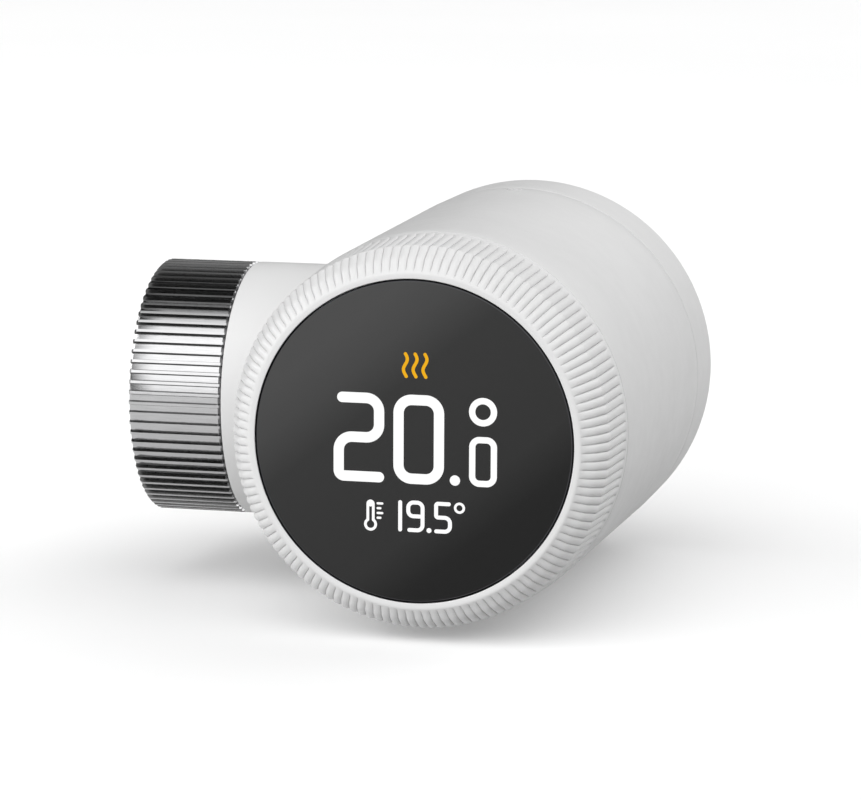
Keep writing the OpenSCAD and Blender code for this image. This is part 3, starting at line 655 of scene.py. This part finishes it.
def room_reading(bm):
    """The small reading below: a one, a nine, a point, a five and a degree ring."""
    width, top, middle, low = 0.52, -7.88, -9.72, -11.58
    stroke(bm, [(-1.78, top - 0.04), (-1.78, low)], width)
    nine = [(1.26, middle), (-0.68, middle), (-0.68, top), (1.26, top), (1.26, low),
            (-0.53, low)]
    stroke(bm, rounded(nine, [0, 0.68, 0.72, 0.72, 0.72, 0], 8, False), width)
    dot(bm, (2.14, -11.53), 0.33)
    five = [(4.81, top), (3.09, top), (3.09, middle), (4.97, middle), (4.97, low), (3.11, low)]
    stroke(bm, rounded(five, [0, 0.27, 0.27, 0.72, 0.72, 0], 8, False), width)
    ring_mark(bm, (6.24, -8.33), 0.58, 0.33)


def thermometer(bm):
    """A tube over a round bulb, with four scale lines beside it."""
    x, top, bulb = -5.81, -8.33, -11.07
    stem, bulb_r = 0.37, 0.70
    opening = math.degrees(math.asin(stem / bulb_r))
    outline = arc((x, bulb), bulb_r, 90 - opening, opening - 270, 32)
    dome = arc((x, top), stem, 180, 0, 12)
    stroke(bm, outline + dome, 0.36, closed=True)
    stroke(bm, [(x, top + 0.05), (x, top - 0.02)], 0.7)
    scale_x, scale_top, step = -4.84, -8.23, 0.645
    for k, length in enumerate((0.62, 0.36, 0.62, 0.36)):
        z = scale_top - step * k
        stroke(bm, [(scale_x, z), (scale_x + length, z)], 0.3)


def heat_waves(bm):
    """Three wavy lines side by side."""
    steps, top, height, sway, waves = 28, 11.86, 3.0, 0.26, 1.08
    for x in (-1.13, 0.18, 1.51):
        points = [(x + sway * math.sin(2 * math.pi * waves * k / steps), top - height * k / steps)
                  for k in range(steps + 1)]
        stroke(bm, points, 0.43)


# ---------------------------------------------------------------- drum

def drum():
    """The drum's shell, open into the arm, with the fingernail notch at its rear edge."""
    edge, columns = 0.15, DRUM_COLUMNS
    outline = spread(rounded(
        [(DRUM_FRONT, DRUM_FRONT_R), (DRUM_REAR, DRUM_REAR_R), (DRUM_REAR, DRUM_REAR_R - WALL),
         (DRUM_FRONT, DRUM_FRONT_R - WALL)], [edge] * 4, 4), 4.0)

    def place(i, j):
        y, r = outline[i]
        return at_drum(r, 2 * math.pi * j / columns, y)

    bm = bmesh.new()
    lathe(bm, len(outline), columns, place)
    obj = new_object("drum", bm)

    arm_bore, inside_drum = ARM_R - WALL, 14.0
    bm = bmesh.new()
    cylinder(bm, arm_bore, inside_drum, ARM_END - ARM_WALL, 192, at_arm)
    cut(obj, bm)

    half_width, depth, near, far = 1.05, 0.8, DRUM_REAR - 2.8, DRUM_REAR - 1.2
    low = drum_r(far) - depth
    clear = low + 2
    bm = bmesh.new()
    block(bm, Vector((AXIS_X - half_width, FRONT_Y + near, low)) * MM,
          Vector((AXIS_X + half_width, FRONT_Y + far, clear)) * MM)
    cut(obj, bm)
    return dress(obj, "housing", "white_shell", white, "body_shell")


def foot(angle):
    """Where the arm's surface meets the drum, as (out, back, up) from the arm's axis."""
    up, back = ARM_R * math.cos(angle), ARM_R * math.sin(angle)
    return Vector((math.sqrt(drum_r(ARM_Y + back) ** 2 - up ** 2), back, up))


def arm():
    """The arm's tube, with a small fillet where it leaves the drum."""
    columns, fillet_steps, side_steps, edge = 240, 8, 6, 0.2
    inner_r, wall_end = ARM_R - WALL, ARM_END - ARM_WALL
    neck_hole, sunk, lap, bead = 12.6, 0.75, 0.4, 0.3
    under_skin = 0.01

    def column(angle):
        """The tube's outline at one angle, from its end over the outside to the inside."""
        across = Vector((0, math.sin(angle), math.cos(angle)))
        base = foot(angle)
        normal = Vector((base.x, 0, base.z)) / drum_r(ARM_Y + base.y)
        along_drum = (across - normal * across.dot(normal)).normalized()
        start = base + Vector((FILLET, 0, 0))
        end = base + along_drum * FILLET
        scale = (drum_r(ARM_Y + end.y) - under_skin) / math.hypot(end.x, end.z)
        end = Vector((end.x * scale, end.y, end.z * scale))
        outer = [(ARM_END, neck_hole)]
        outer += arc((ARM_END - edge, ARM_R - edge), edge, 0, 90, 5)
        points = [Vector((out, across.y * r, across.z * r)) for out, r in outer]
        points += [points[-1].lerp(start, k / side_steps) for k in range(1, side_steps)]
        points += [start * (1 - t) ** 2 + base * 2 * t * (1 - t) + end * t ** 2
                   for t in [k / fillet_steps for k in range(fillet_steps + 1)]]
        points.append(Vector((end.x - sunk, end.y, end.z)))
        inner_up = inner_r * math.cos(angle)
        inside = drum_r(ARM_Y + inner_r * math.sin(angle)) - WALL + lap
        inner_out = math.sqrt(inside ** 2 - inner_up ** 2)
        for out, r in ((inner_out, inner_r + bead), (inner_out, inner_r), (wall_end, inner_r),
                       (wall_end, neck_hole)):
            points.append(Vector((out, across.y * r, across.z * r)))
        return points

    outlines = [column(2 * math.pi * j / columns) for j in range(columns)]

    def place(i, j):
        out, back, up = outlines[j][i]
        return Vector((AXIS_X - out, back, up)) * MM

    bm = bmesh.new()
    lathe(bm, len(outlines[0]), columns, place)
    return dress(new_object("arm", bm), "housing", "white_shell", white)


# ---------------------------------------------------------------- battery cap

def cap():
    """The cup with its spigot; its outline stops at middle_r, where flat faces close it."""
    front = CAP_LOW.y / MM - FRONT_Y
    seam, step, middle_r = DRUM_REAR + 0.2, 1.8, 0.4
    inner = DRUM_REAR_R - WALL
    spigot = inner - 0.2
    spigot_inner = spigot - 1
    outline = spread(rounded(
        [(seam, DRUM_REAR_R), (CAP_REAR, DRUM_REAR_R), (CAP_REAR, middle_r),
         (CAP_REAR - WALL, middle_r), (CAP_REAR - WALL, inner), (seam + step, inner),
         (seam + step, spigot_inner), (front, spigot_inner), (front, spigot), (seam, spigot)],
        [0.15, 1.6, 0, 0, 0.6, 0.1, 0.1, 0.1, 0.15, 0.1], 8), 3.0)
    bm = bmesh.new()
    rings = [ring(bm, r, y, DRUM_COLUMNS, at_drum) for y, r in outline]
    in_middle = [r < middle_r + 0.1 for y, r in outline]
    for i, row in enumerate(rings):
        k = (i + 1) % len(rings)
        if not (in_middle[i] and in_middle[k]):
            bridge(bm, row, rings[k])
        if in_middle[i]:
            bm.faces.new(row)
    return dress(new_object("cap", bm), "cap", "white_shell", white, "battery_cap")


def cap_pad():
    """The cap's block behind the bridge plate."""
    low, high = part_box("cap_bridge_plate")
    border, gap, sunk = 0.5 * MM, 0.02 * MM, 0.3 * MM
    rear = (FRONT_Y + CAP_REAR - WALL) * MM + sunk
    bm = bmesh.new()
    block(bm, Vector((low.x - border, high.y + gap, low.z - border)),
          Vector((high.x + border, rear, high.z + border)))
    return dress(new_object("cap_pad", bm), "cap", "white_shell", white)


# ---------------------------------------------------------------- union nut

def nut():
    """Ridged outside with pockets that stop short of the inner end, and a cut thread inside."""
    pocket, chamfer, bevel, edge = 0.55, 0.35, 0.4, 0.12
    web, undercut, lead_in = 2.25, 4.65, 0.2
    half_ridge, wall = 0.13, 0.1
    base = NUT_R - pocket
    # where the columns of one ridge stand, in ridges, and which of them are on its crest
    columns = [-half_ridge - wall, -half_ridge, -0.05, 0.05, half_ridge, half_ridge + wall,
               0.33, 0.5, 0.67]
    crests = range(1, 5)
    # each row is its distance out, its radius on the crests and its radius between them
    neck_rim, mouth = NECK_BORE_R + lead_in, THREAD_R + 0.3
    outside = [(NUT_START, neck_rim, neck_rim), (NUT_START, NUT_R - 0.15, base - bevel),
               (NUT_START + edge, NUT_R, base - bevel + edge), (NUT_START + bevel, NUT_R, base),
               (NUT_END - chamfer - 3.5, NUT_R, base), (NUT_END - chamfer, NUT_R, base),
               (NUT_END, NUT_R - chamfer, base - 0.2), (NUT_END, mouth, mouth)]
    thread_start, thread_end = NUT_START + undercut, NUT_END - chamfer
    steps_a_turn = 10
    steps = math.ceil((thread_end - thread_start) / THREAD_PITCH * steps_a_turn)
    inside = [(thread_end - (thread_end - thread_start) * k / steps, None, None)
              for k in range(steps + 1)]
    tail = [(out, r, r) for out, r in
            ((thread_start - 0.15, THREAD_R), (NUT_START + web, THREAD_R),
             (NUT_START + web, NECK_BORE_R), (NUT_START + lead_in, NECK_BORE_R))]
    rows = outside + inside + tail
    total = NUT_RIDGES * len(columns)

    def thread_r(out, angle):
        """The thread's radius: flat crests and roots, fading out at the mouth."""
        phase = (out / THREAD_PITCH - angle / (2 * math.pi)) % 1.0
        tooth = min(max(1.25 - 2.5 * abs(2 * phase - 1) * 0.9, 0.0), 1.0)
        fade = soften((thread_end - out) / 0.8)
        return THREAD_R - (THREAD_R - THREAD_MINOR_R) * tooth * fade

    def place(i, j):
        ridge, column = divmod(j, len(columns))
        angle = 2 * math.pi * (ridge + columns[column]) / NUT_RIDGES
        out, crest, valley = rows[i]
        if crest is None:
            return at_arm(thread_r(out, angle), angle, out)
        return at_arm(crest if column in crests else valley, angle, out)

    bm = bmesh.new()
    lathe(bm, len(rows), total, place)
    obj = dress(new_object("nut", bm, 30), "nut", "nickel_nut", nickel, "union_nut")
    # the steep walls beside the ridges take the dark nickel: painted shade in the pockets
    obj.data.materials.append(nickel_painted_groove_shade)
    long_rows, ridge_walls = (3, 4, 5), (0, 4)
    for face in obj.data.polygons:
        row, column = divmod(face.index, total)
        if row in long_rows and column % len(columns) in ridge_walls:
            face.material_index = 1
    return obj


dial()
lens()
marks("digit_two", big_two, lit_white)
marks("digit_zero", big_zero, lit_white)
marks("digit_tenth", small_zero, lit_white)
marks("room_reading", room_reading, lit_white)
marks("thermometer_mark", thermometer, lit_white)
marks("heat_mark", heat_waves, lit_amber)
drum()
arm()
cap()
cap_pad()
nut()

# ---------------------------------------------------------------- camera

AZIMUTH, ELEVATION, ROLL = math.radians(13.81), math.radians(9.40), math.radians(0.23)
DISTANCE, SIDE, RISE = 471.6, 2.357, 5.566     # millimetres, from the display's centre
LENS_MM, SENSOR_MM = 150.4, 36.0

back = Vector((math.sin(AZIMUTH) * math.cos(ELEVATION), -math.cos(AZIMUTH) * math.cos(ELEVATION),
               math.sin(ELEVATION)))
level = Vector((math.cos(AZIMUTH), math.sin(AZIMUTH), 0))
right = Matrix.Rotation(ROLL, 3, back) @ level
above = back.cross(right)
eye = Vector((AXIS_X, FRONT_Y, 0)) + back * DISTANCE + right * SIDE + above * RISE
camera_data = bpy.data.cameras.new("camera")
camera_data.lens, camera_data.sensor_width = LENS_MM, SENSOR_MM
camera_data.clip_start = 0.01
camera = bpy.data.objects.new("camera", camera_data)
camera.matrix_world = Matrix.Translation(eye * MM) @ Matrix(
    (right, above, back)).transposed().to_4x4()
bpy.context.scene.collection.objects.link(camera)
bpy.context.scene.camera = camera

# ---------------------------------------------------------------- floor and light

def floor():
    """A pale ground that shows the object's shadow but neither blocks light nor scatters it."""
    size, gap = 3.0, 0.1 * MM
    bm = bmesh.new()
    bmesh.ops.create_grid(bm, x_segments=1, y_segments=1, size=size)
    obj = new_object("floor", bm)
    obj.location = (AXIS_X * MM, 0, CAD_BOX[0][2] - gap)
    n = Nodes("studio_floor")
    n.color(n.ramp(n.noise(3), [(0.3, (0.9, 0.9, 0.9)), (0.7, (0.92, 0.92, 0.92))]))
    n.set(Roughness=0.9, Specular_IOR_Level=0.1, Emission_Color=(1, 1, 1, 1),
          Emission_Strength=0.05)
    obj.data.materials.append(n.material)
    obj.visible_diffuse = obj.visible_shadow = False


def aim(azimuth, elevation):
    """A direction from the object: azimuth 0 is the front and 90 is +X."""
    a, e = math.radians(azimuth), math.radians(elevation)
    return Vector((math.sin(a) * math.cos(e), -math.cos(a) * math.cos(e), math.sin(e)))


def glow(world, patches):
    """The studio: soft bright patches, each (direction, cosine at edge, at core, power)."""
    tree = world.node_tree
    place = tree.nodes.new("ShaderNodeTexCoord").outputs["Generated"]
    total = None
    for axis, edge, core, power in patches:
        toward = tree.nodes.new("ShaderNodeVectorMath")
        toward.operation = "DOT_PRODUCT"
        toward.inputs[1].default_value = axis
        tree.links.new(place, toward.inputs[0])
        patch = tree.nodes.new("ShaderNodeMapRange")
        patch.interpolation_type = "SMOOTHSTEP"
        patch.inputs["From Min"].default_value = edge
        patch.inputs["From Max"].default_value = core
        patch.inputs["To Max"].default_value = power
        tree.links.new(toward.outputs["Value"], patch.inputs["Value"])
        if total:
            add = tree.nodes.new("ShaderNodeMath")
            tree.links.new(total, add.inputs[0])
            tree.links.new(patch.outputs["Result"], add.inputs[1])
            total = add.outputs[0]
        else:
            total = patch.outputs["Result"]
    background = tree.nodes["Background"]
    background.inputs["Color"].default_value = (1, 1, 1, 1)
    tree.links.new(total, background.inputs["Strength"])


def area_light(name, place, target, size, power):
    data = bpy.data.lights.new(name, "AREA")
    data.energy, data.size = power, size
    obj = bpy.data.objects.new(name, data)
    obj.location = place
    obj.rotation_euler = (target - place).to_track_quat("-Z", "Y").to_euler()
    bpy.context.scene.collection.objects.link(obj)
    return obj


floor()
middle = Vector((AXIS_X * MM, 0, 0))
area_light("side_box", middle + aim(-80, 25), middle, 0.5, 2.95)

scene = bpy.context.scene
world = bpy.data.worlds.new("studio")
world.use_nodes = True
scene.world = world
above_front = (aim(0, 35), 0.5, 0.95, 2.27)
behind_right = (aim(140, 30), 0.5, 0.95, 1.17)
above_right = (aim(95, 38), 0.7, 0.98, 0.72)
below_left = (aim(-90, -35), 0.5, 0.95, 1.0)
below_front = (aim(0, -40), 0.6, 0.95, 0.6)
glow(world, [above_front, behind_right, above_right, below_left, below_front])
scene.view_settings.view_transform = "Standard"
scene.cycles.use_denoising = True
